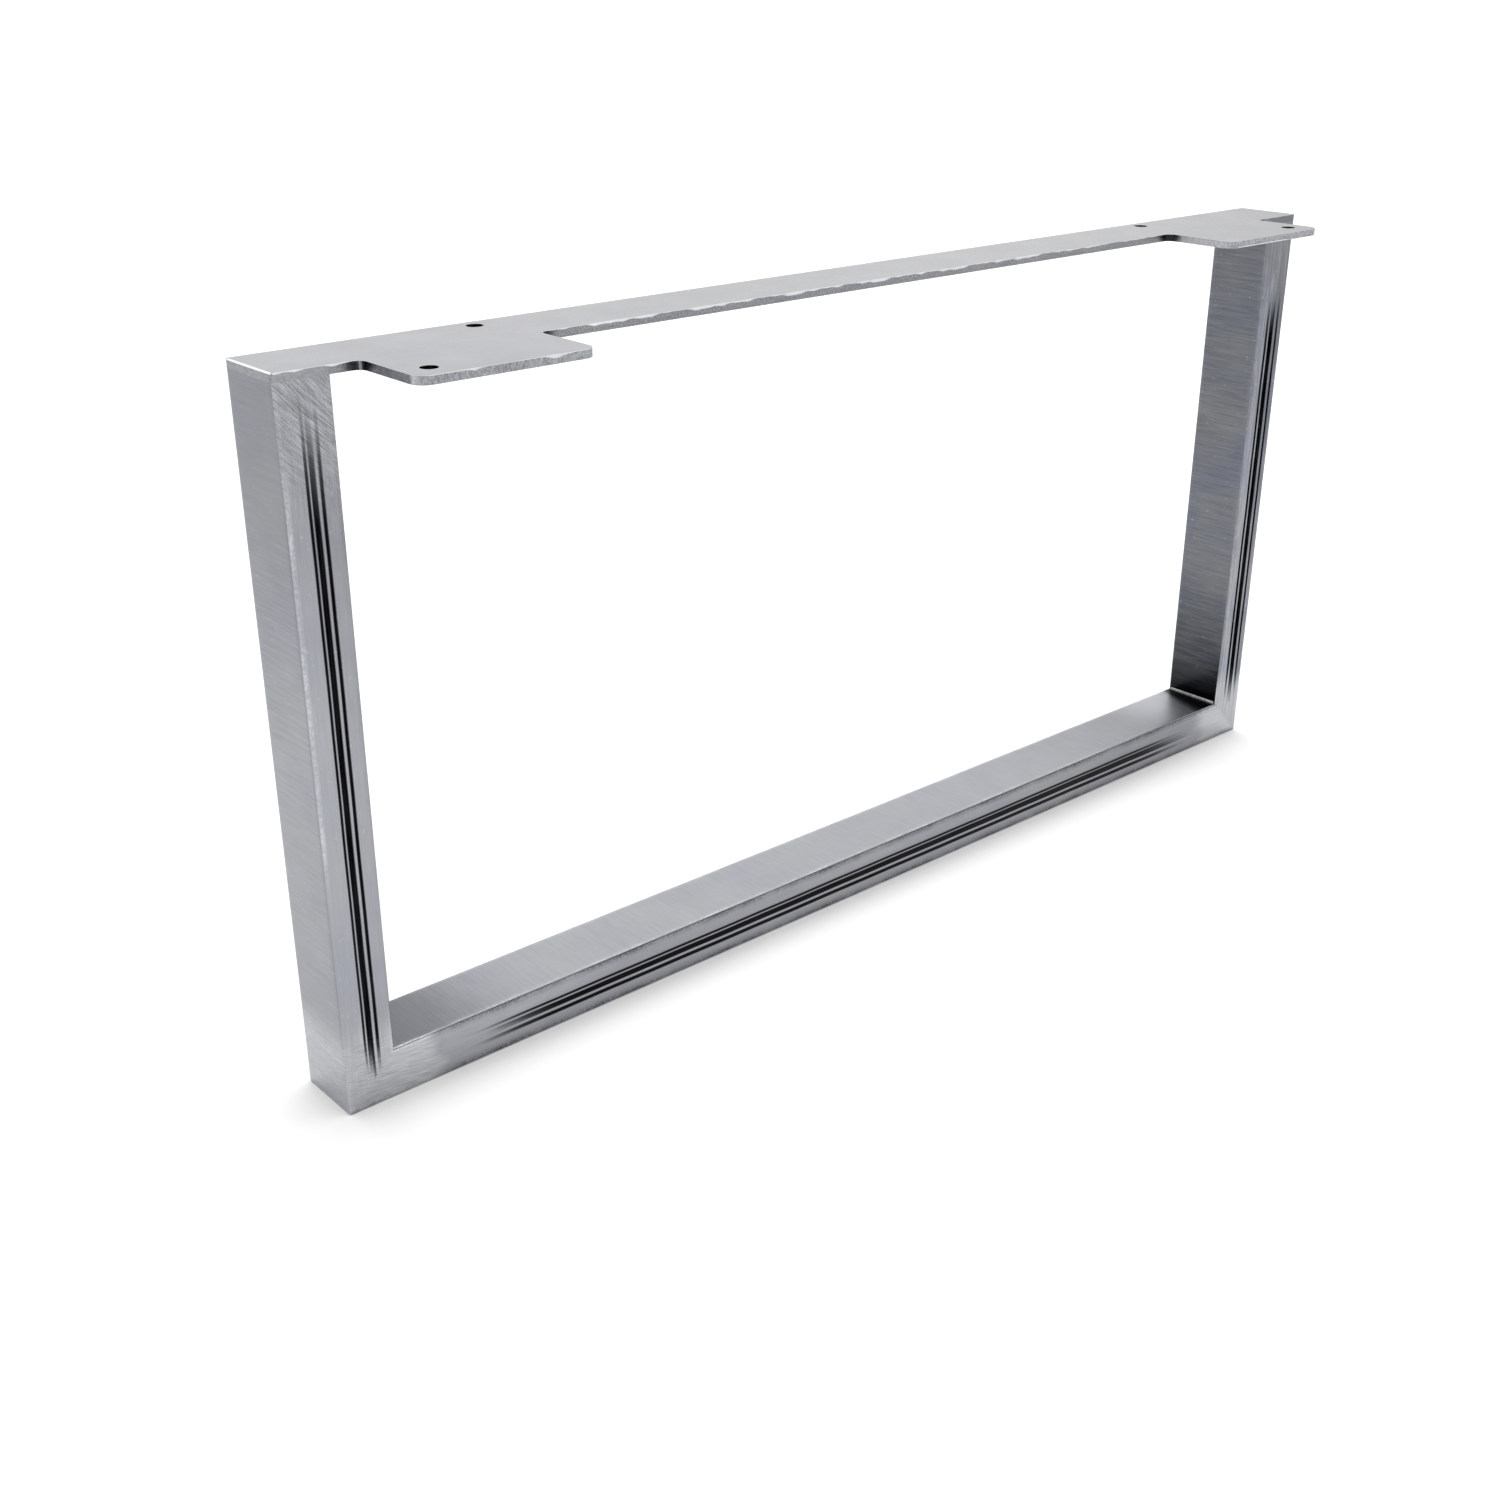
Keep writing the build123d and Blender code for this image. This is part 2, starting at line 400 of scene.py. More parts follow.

# What a user would change about each tube, in mm. Spans are (nothing, full, full, nothing) along the tube, and
# tones are screen greys: for the sides, for the front's half towards the frame's inside, for its other half. They
# differ from tube to tube and face to face partly as painted light and shade.
# lines: the seam's dark lines, (place across the face towards the inside, width) at the tube's start and end
# span: where the seam shows
# ground: patches ground flush, with the share of scratches, how far they wrap round the outer side, and the turn
#   of the scratches in degrees
# heat: bluish patches beside the welds
# darkening: change of tone from one place along the tube to another
# scorchAndShade: (change of tone, reach) on the inner side from the weld in the corner, painted shade with a heat
# tint
# paintedLight, cornerShadow: a paler stretch of the rail's inner side, painted light, and a black painted shadow
# at
#   the right weld, by its width at the back and at the front
# glint: painted highlight, and painted shade where below zero, on the rounded long edges, over the edgeBand and
#   along the glinted span
# brushTone, streakTone, fleckTone: strength of the lines on the sides and on the front, and of the flecks
# flareTint: white for clean metal, darker under an oxide skin
tubes = {
    "leftUprightTube": {
        "node": "left_upright",
        "lines": ((1.05, 3.4, 0.85, 3.0), (-2.2, 1.2, -2.3, 1.6), (5.4, 1.8, 4.9, 1.9)),
        "span": (13, 43, 322, 390),
        "ground": (
            {"span": (-20, -10, 32, 60), "tone": 0.685, "scratches": 0.75, "wrap": 0.8, "turn": 82},
            {"span": (312, 376, 420, 430), "tone": 0.56, "scratches": 0.9, "wrap": 0.0, "turn": 43},
        ),
        "heat": (
            {"span": (28, 48, 60, 85), "share": 0.18},
            {"span": (318, 345, 362, 385), "share": 0.3},
        ),
        "tones": {"side": 0.545, "inner": 0.592, "outer": 0.607},
        "darkening": {"from": 180, "to": 390, "side": -0.07, "inner": -0.085, "outer": -0.06},
        "scorchAndShade": ((-0.10, 60),),
        "edgeBand": 2.6,
        "glint": {"innerSide": 0.0, "innerFront": -0.02, "outerSide": -0.02, "outerFront": 0.08},
        "glinted": (110, 180, 420, 430),
        "innerRoughness": (0.18, 0.27),
        "brushPitch": 0.9,  # the real lines are finer, this is as coarse as they need to be to show
        "brushTone": 0.026,
        "streakTone": 0.02,
        "fleckTone": 0.04,
        "blueShare": 0.2,
        "flareTint": "#ffffff",
        "seed": 3,
    },
    "rightUprightTube": {
        "node": "right_upright",
        "lines": ((-1.9, 4.8, -1.9, 5.0), (-7.9, 2.0, -8.6, 2.3), (3.5, 2.2, 3.5, 2.4)),
        "span": (24, 62, 312, 352),
        "ground": (
            {"span": (-20, -10, 40, 60), "tone": 0.70, "scratches": 0.3, "wrap": 0.8, "turn": 70},
            {"span": (345, 372, 420, 430), "tone": 0.485, "scratches": 0.2, "wrap": 0.0, "turn": 43},
        ),
        "heat": (
            {"span": (30, 50, 60, 90), "share": 0.2},
            {"span": (300, 330, 350, 372), "share": 0.3},
        ),
        # the right upright's greys are set darker than the other tubes' as painted shade
        "tones": {"side": 0.42, "inner": 0.592, "outer": 0.52},
        "darkening": {"from": 130, "to": 345, "side": -0.03, "inner": -0.06, "outer": -0.08},
        "scorchAndShade": ((-0.175, 130), (-0.16, 30)),
        "edgeBand": 4.2,
        "glint": {"innerSide": 0.06, "innerFront": -0.045, "outerSide": 0.03, "outerFront": 0.03},
        "glinted": (-20, -10, 420, 430),
        "innerRoughness": (0.18, 0.27),
        "brushPitch": 1.1,
        "brushTone": 0.042,
        "streakTone": 0.08,
        "fleckTone": 0.09,
        "blueShare": 0.38,
        "flareTint": "#b4b4b4",
        "seed": 5,
    },
    "bottomRailTube": {
        "node": "bottom_rail",
        "lines": ((-0.5, 3.1, -0.85, 4.6), (3.0, 1.5, 3.1, 1.8), (-4.95, 2.3, -6.3, 2.7)),
        "span": (-322, -262, 266, 342),
        "ground": (
            {"span": (-420, -410, -350, -338), "tone": 0.67, "scratches": 0.75, "wrap": 0.0, "turn": 82},
            {"span": (-388, -366, -350, -338), "tone": 0.715, "scratches": 0.75, "wrap": 0.0, "turn": 82},
            {"span": (-344, -336, -300, -190), "tone": 0.628, "scratches": 0.0, "wrap": 0.0, "turn": 82},
            {"span": (342, 360, 410, 420), "tone": 0.70, "scratches": 0.3, "wrap": 0.0, "turn": 70},
        ),
        "heat": (
            {"span": (-346, -340, -330, -296), "share": 0.07},
            {"span": (270, 300, 330, 356), "share": 0.5},
        ),
        "tones": {"side": 0.645, "inner": 0.588, "outer": 0.635},
        "darkening": {"from": 120, "to": 340, "side": -0.06, "inner": -0.035, "outer": -0.035},
        "scorchAndShade": ((-0.2, 100),),
        "paintedLight": {"span": (285, 338, 348, 368), "change": 0.15},
        "cornerShadow": {"back": 6.0, "front": 19.0, "tone": 0.02},
        "edgeBand": 4.2,
        "glint": {"innerSide": 0.14, "innerFront": -0.12, "outerSide": -0.09, "outerFront": -0.16},
        "glinted": (-420, -410, 410, 420),
        "innerRoughness": (0.36, 0.46),
        "brushPitch": 1.1,
        "brushTone": 0.03,
        "streakTone": 0.018,
        "fleckTone": 0.03,
        "blueShare": 0.15,
        "flareTint": "#ffffff",
        "seed": 8,
    },
}


# masks for a tube's finish, for every point of its outer skin, and where the seam lies: each is a product of soft
# steps along the tube, across its face and over the direction that the point faces
def tubeMasks(spec, section, halfFace, halfDepth, share, along, start, end):
    across, depth, normalAcross, normalDepth = section
    seed = spec["seed"]
    onFront = softStep(0.4, 0.9, -normalDepth)
    onFace = softStep(0.4, 0.9, np.abs(normalDepth))
    onInner = softStep(0.85, 1.0, normalAcross)
    onOuter = softStep(0.5, 0.9, -normalAcross)
    # the front carries the seam, a few lines that wander a little and end raggedly
    drift = across / mm - tube["seamDrift"] * wander(along, tube["driftLengths"], seed)
    seamEnd = tube["seamRagged"] * mm * wander(across, tube["seamRagLengths"], seed + 1)
    soft, lineMasks = tube["seamSoft"], []
    for places in np.array(spec["lines"]):
        place, width = places[:2, None, None] + (places[2:] - places[:2])[:, None, None] * share
        lineMasks += [1 - softStep(width / 2 - soft, width / 2 + soft, np.abs(drift - place))]
    seam = np.max(lineMasks, axis=0) * spanMask(spec["span"], along + seamEnd) * onFront
    # the ground patches lie on the front and back and wrap a little round the outer side
    ragged = along + tube["groundRagged"] * mm * wander(across, tube["groundRagLengths"], seed + 2)
    grindable = softStep(0.0, 0.6, np.abs(normalDepth))
    patches = [spanMask(g["span"], ragged) * np.maximum(grindable, g["wrap"] * onOuter) for g in spec["ground"]]
    ground = np.max([patch * g["scratches"] for patch, g in zip(patches, spec["ground"])], axis=0)
    nearest = np.argmax([spanMask(g["span"], along) for g in spec["ground"]], axis=0)
    swing = np.radians([g["turn"] for g in spec["ground"]])[nearest]
    # the inner side is darker next to the corner's weld: painted corner shade, with a heat tint
    scorchAndShade = [onInner * (1 - softStep(0, reach * mm, along - start)) for _, reach in spec["scorchAndShade"]]
    heat = np.max([spanMask(h["span"], ragged) * h["share"] for h in spec["heat"]], axis=0) * onFront
    heat = heat * (1 + tube["heatSwing"] * wander(along + across, tube["heatLengths"], seed + 3))
    heat = heat + tube["scorchHeat"] * scorchAndShade[0]
    # plain tone, blended from the sides to the two halves of the front, and darker towards one end
    outerEdge, innerEdge = tube["halfBlend"]
    innerHalf = softStep(outerEdge * mm, innerEdge * mm, across)
    plain, darkening = (
        (1 - onFace) * v["side"] + onFace * ((1 - innerHalf) * v["outer"] + innerHalf * v["inner"])
        for v in (spec["tones"], spec["darkening"]))
    tone = plain + darkening * softStep(spec["darkening"]["from"] * mm, spec["darkening"]["to"] * mm, along)
    # painted corner shade on the inner side
    tone = tone + sum(change * fade for (change, _), fade in zip(spec["scorchAndShade"], scorchAndShade))
    if "paintedLight" in spec:
        # painted light: a paler stretch of the inner side near the right weld
        tone = tone + spec["paintedLight"]["change"] * spanMask(spec["paintedLight"]["span"], along) * onInner
    if "cornerShadow" in spec:
        # a black painted shadow on the inner side at the weld, widening from back to front
        cornerShadow = spec["cornerShadow"]
        shadowWidth = (cornerShadow["back"] + (cornerShadow["front"] - cornerShadow["back"]) * (0.5 - 0.5 * depth / halfDepth)) * mm
        shadowed = onInner * (1 - softStep(0.6 * shadowWidth, 1.6 * shadowWidth, end - along))
        tone = tone + shadowed * (cornerShadow["tone"] - tone)
    # painted highlight and painted shade on the rounded long edges, and a painted highlight on the inner edges of
    # the first ground patch
    bandWidth, glint = spec["edgeBand"] * mm, spec["glint"]
    nearSide = softStep(halfFace - bandWidth, halfFace - 0.5 * bandWidth, np.abs(across))
    nearFace = softStep(halfDepth - 0.5 * bandWidth, halfDepth - 0.15 * bandWidth, np.abs(depth))
    edgeBand = nearSide * nearFace
    towardsFront = softStep(0.35, 0.8, -normalDepth)
    innerGlint, outerGlint = (
        glint[side + "Side"] + (glint[side + "Front"] - glint[side + "Side"]) * towardsFront
        for side in ("inner", "outer"))
    edgeGlint = np.where(across > 0, innerGlint, outerGlint) * edgeBand * spanMask(spec["glinted"], along)
    edgeGlint = edgeGlint * (1 + tube["edgeGlintSwing"] * wander(along, tube["edgeGlintLengths"], seed + 5))
    edgeGlint = edgeGlint * (1 - tube["groundGlintLoss"] * ground)
    edgeGlint = edgeGlint + tube["groundGlint"] * ground * edgeBand * (across > 0) * (nearest == 0)
    for patch, g in zip(patches, spec["ground"]):
        tone = tone + patch * (g["tone"] - tone)
    tone = tone + seam * (tube["seamTone"] - tone)
    masks = {"tone": tone, "ground": ground, "heat": heat, "front": onFront + 0 * along, "edgeGlint": edgeGlint,
             "swing": swing, "inner": onInner + 0 * along}
    return masks, seam


# a tube of constant section carried along its length between two mitred or square ends, as a closed wall:
# outer skin from end to end, then the bore back again. Its sides bow in a little, never past the true size.
def makeTube(name):
    spec = tubes[name]
    low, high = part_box(spec["node"])
    isRail = high.x - low.x > high.z - low.z
    halfFace, halfDepth = tubeFace / 2, (tubeBack - tubeFront) / 2
    wall, radius = tube["wall"] * mm, tube["cornerRadius"] * mm
    # columns stand close together over the seam and a few mm apart elsewhere
    flatHalf, bandHalf = halfFace - radius, tube["seamBand"]
    band = (spec["lines"][0][0] + np.arange(-bandHalf, bandHalf, tube["seamPitch"])) * mm
    coarse, wide, narrow = (np.linspace(-1, 1, count)[1:-1] for count in tube["columns"])
    coarse = coarse * flatHalf
    front = np.concatenate([band, coarse[np.abs(coarse - band.mean()) > bandHalf * mm]])
    front = np.sort(front) / flatHalf
    steps = (front[np.abs(front) < 0.99], wide, narrow, wide)
    section = sectionLoop(halfFace, halfDepth, radius, steps, tube["arcSteps"])
    across, depth, normalAcross, normalDepth = section
    boreAcross, boreDepth, _, _ = sectionLoop(
        halfFace - wall, halfDepth - wall, tube["boreRadius"] * mm, steps, tube["arcSteps"])
    # each point runs from its own place on the mitre; the rail has a mitre at both ends
    mitres = halfFace + across, halfFace + boreAcross
    start, boreStart = (m - halfLength if isRail else m for m in mitres)
    end, boreEnd = (halfLength - m if isRail else np.full_like(m, plateBottom) for m in mitres)
    rows = int((end - start).max() / (tube["rowPitch"] * mm))
    share = np.linspace(0, 1, rows)[:, None]
    along = start + share * (end - start)
    masks, seam = tubeMasks(spec, section, halfFace, halfDepth, share, along, start, end)
    # the sides bow by a few hundredths of a millimetre, and the seam lies a little below the face
    sideNumber = np.round(np.arctan2(normalDepth, normalAcross) / (np.pi / 2))
    waveAlong = along + tube["waveShift"] * mm * sideNumber
    bow = 0.5 + 0.5 * wander(waveAlong, tube["waveLengths"], spec["seed"] + 4)
    dent = tube["waveDepth"] * mm * bow + tube["seamDepth"] * mm * seam
    bent = (across - normalAcross * dent, depth - normalDepth * dent, along)
    bore = (np.stack([boreAcross] * 2), np.stack([boreDepth] * 2), np.stack([boreEnd, boreStart]))
    acrossAll, depthAll, alongAll = (np.concatenate(pair) for pair in zip(bent, bore))
    if isRail:
        points = np.stack([alongAll, depthAll, halfFace + acrossAll], axis=-1)
    else:
        side = math.copysign(1, low.x + high.x)
        points = np.stack([side * (halfLength - halfFace - acrossAll), depthAll, alongAll], axis=-1)
    inside = np.zeros((2, len(across)))
    masks = {k: np.concatenate([v, inside + tube["boreTone"] * (k == "tone")]) for k, v in masks.items()}
    material = tubeSteel(name + "Steel", 0 if isRail else 2, spec)
    faces = gridQuads(*points.shape[:2], True)
    piece = addPiece(name, points, faces, material, spec["node"], masks)
    print("tube:", name, len(piece.data.polygons), "faces")


for tubeName in tubes:
    makeTube(tubeName)


# What a user would change about the plate, in mm. The filed edge is a bevel whose depth wanders along the front.
plate = {
    "tabLength": 100.0,
    "tabInset": 46.0,
    "tabCorner": 8.0,
    "tabRoot": 5.0,
    "endCorner": 1.5,
    "pitch": 0.9,
    "arcPitch": 0.5,
    "bevel": 0.15,
    "frontSlope": 1.1,  # the bevel's drop for its inset
    "endSlope": 0.6,
    "endBevel": 1.1,
    "filing": 1.2,
    "filingWaves": (61.0, 33.0, 17.0, 9.5),
    "filingMiddle": 0.5,
    "filingSwing": 0.95,
    "filingRange": (0.04, 1.1),
    "filingFades": (60, 330),  # along X, from the left, where it is deepest
    "filingFromRoot": (4, 18),  # none at a tab's root, full at the second distance
    "tabFiling": 0.15,
    "tabFrom": (20, 40),  # forward of the tubes, where the strip's edge turns into the tab's
    "chips": ((-324, 3.0, 0.8), (-279, 5.0, 1.2)),  # on the left tab's front: place, half width, depth
    "flushFrom": (-6, 4),  # from the uprights' inner sides, where the edge was ground flush
    "flushCut": 0.7,  # share of the cut's grain that grinding took off
    "burr": 0.1,
    "brightBurr": 0.5,
    "brightBurrSpan": (258, 264, 312, 324),
    "cutWave": 0.04,
    "cutWaves": ((3.1, 1.9), (3.7, 2.3)),
    "cutRows": (0.4, 0.75),  # places of the two waving rows, as shares of the edge's height
    "rootReach": (3.0, 12.0),
    "rootGlintReach": (2.1, 2.4),
    "holeRim": 0.06,
    "holeSteps": 48,
    # root and hole greys are painted shade, rootGlint a painted highlight, filed and end are filed steel painted
    # near white as a highlight, tabSide is paler as painted light, groundRight darker as painted shade
    "tones": {"top": 0.617, "filed": 0.82, "end": 0.95, "strip": 0.505, "tab": 0.57, "tabSide": 0.65,
              "groundLeft": 0.565, "groundRight": 0.42, "side": 0.525, "root": 0.12, "rootGlint": 0.5,
              "hole": 0.03},
}


# outline through corners (x, y, radius): each corner is an arc that touches both of its sides, and points stand
# at the given pitch on the straight runs between the arcs
def roundedOutline(corners, pitch, arcPitch):
    corner = np.array(corners)
    places, radii = corner[:, :2], corner[:, 2]
    toNext = np.roll(places, -1, axis=0) - places
    heading = np.arctan2(toNext[:, 1], toNext[:, 0])
    turn = (heading - np.roll(heading, 1) + np.pi) % (2 * np.pi) - np.pi
    cut = radii * np.tan(np.abs(turn) / 2)
    unit = np.stack([np.cos(heading), np.sin(heading)], axis=-1)
    runs = []
    for i in range(len(corner)):
        before, j = i - 1, (i + 1) % len(corner)
        bend = np.sign(turn[i])
        arcStart = places[i] - cut[i] * unit[before]
        centre = arcStart + bend * radii[i] * np.array([-unit[before][1], unit[before][0]])
        count = max(9, int(radii[i] * abs(turn[i]) / arcPitch))
        angles = heading[before] - bend * np.pi / 2 + turn[i] * np.linspace(0, 1, count)
        runs += [centre + radii[i] * np.stack([np.cos(angles), np.sin(angles)], axis=-1)]
        runStart, runEnd = places[i] + cut[i] * unit[i], places[j] - cut[j] * unit[i]
        steps = np.linspace(0, 1, max(3, int(np.linalg.norm(runEnd - runStart) / pitch)))[1:-1, None]
        runs += [runStart + steps * (runEnd - runStart)]
    return np.concatenate(runs)


# goes from nothing at the first distance in mm to full at the second
def reachMask(distances, value):
    return softStep(distances[0] * mm, distances[1] * mm, value)


# flat sheet with filed edges: the edge profile carried round the outline and, the other way, round each hole,
# and the two faces filled between those loops
def makePlate():
    tabStart = halfLength - plate["tabInset"] * mm
    tabEnd = tabStart - plate["tabLength"] * mm
    endCorner, tabRoot, tabCorner = (plate[k] * mm for k in ("endCorner", "tabRoot", "tabCorner"))
    leftHalf = [
        (-halfLength, tubeBack, endCorner), (-halfLength, tubeFront, endCorner),
        (-tabStart, tubeFront, tabRoot), (-tabStart, plateLow.y, tabCorner),
        (-tabEnd, plateLow.y, tabCorner), (-tabEnd, tubeFront, tabRoot)]
    corners = leftHalf + [(-x, y, r) for x, y, r in leftHalf[::-1]]
    outline = roundedOutline(corners, plate["pitch"] * mm, plate["arcPitch"] * mm)
    chord = np.roll(outline, -1, axis=0) - np.roll(outline, 1, axis=0)
    inward = np.stack([-chord[:, 1], chord[:, 0]], axis=-1) / np.linalg.norm(chord, axis=1)[:, None]
    run = np.cumsum(np.linalg.norm(outline - np.roll(outline, 1, axis=0), axis=1))
    # the front edges were filed by hand in scallops, the left end evenly, and the rest only broken
    x, y = np.abs(outline[:, 0]), outline[:, 1]
    atLeft, sideways = outline[:, 0] < 0, np.abs(inward[:, 0])
    front = softStep(0.2, 0.8, inward[:, 1]) * (y < tubeFront + 0.1 * mm)
    onTab = reachMask(plate["tabFrom"], tubeFront - y)
    atEnd = softStep(0.6, 0.9, sideways) * (x > halfLength - 2 * mm)
    toRoot = np.min([np.hypot(x - rootX, y - tubeFront) for rootX in (tabStart, tabEnd)], axis=0)
    deep = front * (1 - reachMask(plate["filingFades"], outline[:, 0])) * (1 + onTab * (plate["tabFiling"] - 1))
    deep = deep * reachMask(plate["filingFromRoot"], toRoot)
    scallops = plate["filingMiddle"] + plate["filingSwing"] * wander(run, plate["filingWaves"], 21)
    scallops = np.clip(scallops, *plate["filingRange"])
    bevel = plate["bevel"] * mm
    filing = bevel + deep * plate["filing"] * mm * scallops + atEnd * atLeft * (plate["endBevel"] * mm - bevel)
    for place, halfWidth, depth in plate["chips"]:
        filing = filing + front * onTab * depth * mm * np.exp(-((outline[:, 0] / mm - place) / halfWidth) ** 2)
    thickness = plateTop - plateBottom
    # over the uprights the edge was welded and ground flush with the tube
    flush = reachMask(plate["flushFrom"], x - (halfLength - tubeFace))
    bright = spanMask(plate["brightBurrSpan"], outline[:, 0]) * (y < plateLow.y + 1 * mm)
    burr = plate["burr"] * mm * (1 - flush) + plate["brightBurr"] * mm * bright
    # rings of the edge from the top face down: (inset, drop), the filed bevel being one flat facet
    none, drop = 0 * filing, (plate["endSlope"] + (plate["frontSlope"] - plate["endSlope"]) * front) * filing
    upperWave, lowerWave = (
        plate["cutWave"] * mm * (1 + wander(run, lengths, seed))
        for lengths, seed in zip(plate["cutWaves"], (22, 23)))
    upperRow, lowerRow = plate["cutRows"]
    rings = [
        (filing, none), (0.93 * filing, 0.07 * drop), (0.05 * filing, 0.95 * drop), (none, drop),
        (upperWave, drop + upperRow * (thickness - drop)), (lowerWave, none + lowerRow * thickness),
        (none, thickness - burr - 0.05 * mm), (none, thickness - burr), (burr, none + thickness)]
    edge = np.stack([
        np.column_stack([outline + inward * inset[:, None], plateTop - down])
        for inset, down in rings])
    points, faces = [edge.reshape(-1, 3)], gridQuads(*edge.shape[:2], False)
    # painted shade darkens the cut in the tabs' roots, and a painted highlight lies in the middle of each left
    # root's fillet
    tones = plate["tones"]
    root = 1 - reachMask(plate["rootReach"], toRoot)
    rootGlint = (1 - reachMask(plate["rootGlintReach"], toRoot)) * atLeft
    # over the right upright the flush edge is painted darker than over the left, as painted shade
    groundTone = np.where(atLeft, tones["groundLeft"], tones["groundRight"])
    groundTone = groundTone + atEnd * (tones["side"] - groundTone)
    # the tabs' sideways cut faces are painted paler than their fronts, as painted light
    tabSide = softStep(0.6, 0.95, sideways) * (y < tubeFront - 1 * mm)
    sideTone = tones["strip"] + onTab * (tones["tab"] - tones["strip"])
    for mask, tone in ((tabSide, tones["tabSide"]), (root, tones["root"]), (rootGlint, tones["rootGlint"]),
                       (flush, groundTone)):
        sideTone = sideTone + mask * (tone - sideTone)
    # the filed bevels and the bright burr are painted near white: filed steel with a painted highlight
    filedGlintTone = tones["filed"] + atEnd * (tones["end"] - tones["filed"])
    burrTone = sideTone + bright * (tones["end"] - sideTone)
    topTone = none + tones["top"]
    toneBlocks = [topTone, filedGlintTone, filedGlintTone, sideTone, sideTone, sideTone, sideTone, burrTone, topTone]
    onCut = np.repeat((0, 0, 0, 1, 1, 1, 1, 0, 0), len(outline))
    cutBlocks = [onCut * np.tile(1 - plate["flushCut"] * flush, len(rings))]
    loops = [(0, len(outline), len(rings))]
    mounts = {m["name"]: m for m in frame["record"]["mounts"]}
    turned = np.linspace(0, 2 * np.pi, plate["holeSteps"], endpoint=False)
    circle = np.stack([np.cos(turned), -np.sin(turned)], axis=-1)
    holeRim, holeBurr = plate["holeRim"] * mm, plate["burr"] * mm
    holeRings = ((holeRim, 0), (0, holeRim), (0, 2 * holeRim), (0, thickness - holeBurr), (holeBurr, thickness))
    # the holes' walls are painted black, as painted shade
    holeTones = [tones["top"]] * 2 + [tones["hole"]] * 3
    for mount in (mounts["front_screw_holes"], mounts["rear_screw_holes"]):
        radius = mount["dims"]["hole_r_mm"] * mm
        for side in (-1, 1):
            middle = np.array((side * mount["dims"]["spacing_x_mm"] * mm / 2, mount["pos_m"][1]))
            rim = np.stack([
                np.column_stack([middle + circle * (radius + grow), np.full(len(circle), plateTop - down)])
                for grow, down in holeRings])
            first = sum(len(block) for block in points)
            points.append(rim.reshape(-1, 3))
            faces += (np.array(gridQuads(*rim.shape[:2], False)) + first).tolist()
            cutBlocks.append(np.repeat((0.0, 0.3, 1, 1, 1), len(circle)))
            toneBlocks.append(np.repeat(holeTones, len(circle)))
            loops.append((first, len(circle), len(holeRings)))
    allPoints = np.concatenate(points)
    # top and bottom faces: triangles between the outline's loop and the holes' loops
    capStart = len(faces)
    starts = np.cumsum([0] + [count for _, count, _ in loops])
    loopEdges = np.concatenate([
        start + np.stack([np.arange(count), np.roll(np.arange(count), -1)], axis=-1)
        for start, (_, count, _) in zip(starts, loops)]).tolist()
    for ring in ("top", "bottom"):
        numbers = np.concatenate([
            np.arange(count) + first + (0 if ring == "top" else (rows - 1) * count)
            for first, count, rows in loops])
        flat = allPoints[numbers, :2].tolist()
        _, _, triangles, original, _, _ = delaunay_2d_cdt(flat, loopEdges, [], 1, 1e-7)
        triangles = np.array(original)[np.array(triangles), 0]
        # a triangle with all its corners on one hole's loop lies inside that hole
        loopOf = np.searchsorted(starts, triangles, side="right")
        inHole = (loopOf[:, 0] > 1) & (np.ptp(loopOf, axis=1) == 0)
        triangles = numbers[triangles[~inHole]]
        faces += (triangles if ring == "top" else triangles[:, ::-1]).tolist()
    masks = {"tone": np.concatenate(toneBlocks), "cutEdge": np.concatenate(cutBlocks)}
    piece = addPiece("topPlateSheet", allPoints, faces, plateSteel("sheetSteel"), "top_plate",
                     masks, range(capStart, len(faces)), 24)
    print("plate:", len(piece.data.polygons), "faces")


makePlate()


# What a user would change about the weld beads, in mm.
bead = {
    "rippleLength": 1.4,
    "rippleHeight": 0.06,
    "rippleLag": 0.6,  # in ripples, at the middle of the bead
    "rippleSwing": 0.3,
    "swingLengths": (9.0, 5.0),
    "crown": 0.2,
    "rowPitch": 0.25,
    "arcSteps": 14,
    "taper": 1.2,
    "endShare": 0.25,  # size of the bead's ends
}


